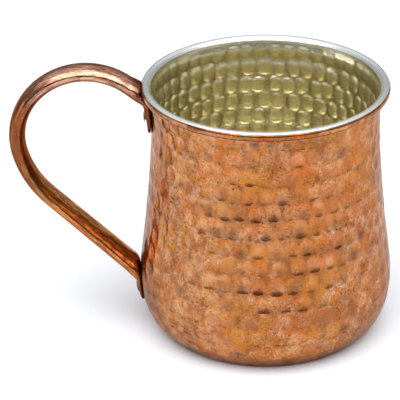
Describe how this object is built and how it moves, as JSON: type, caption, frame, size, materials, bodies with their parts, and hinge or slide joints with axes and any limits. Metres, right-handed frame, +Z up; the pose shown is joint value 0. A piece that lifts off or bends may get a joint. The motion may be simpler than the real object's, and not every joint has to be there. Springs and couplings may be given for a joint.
{
  "type": "moscow mule mug",
  "caption": "Hammered copper mug with a rounded belly, a lip rolled into a bead, nickel lining and a riveted loop handle bent from copper tube.",
  "frame": {"origin": "centre of the flat base, on the surface that the mug stands on", "axes": "+Z up through the middle of the cup, the handle points along -X, the handle's plane is Y = 0"},
  "size_m": [0.1398, 0.0932, 0.1042],
  "materials": {
    "hammered_copper": "copper, hammered by hand and lightly mottled, satin shine",
    "nickel_lining": "nickel plate over hammered metal, bright and slightly warm",
    "polished_copper": "drawn copper tube, polished",
    "rivet_metal": "plain white metal rivet, slightly dull"
  },
  "bodies": {
    "root": {"body": "hammered_copper", "lining": "nickel_lining", "handle": "polished_copper", "upper_rivet": "rivet_metal", "lower_rivet": "rivet_metal"}
  },
  "joints": []
}
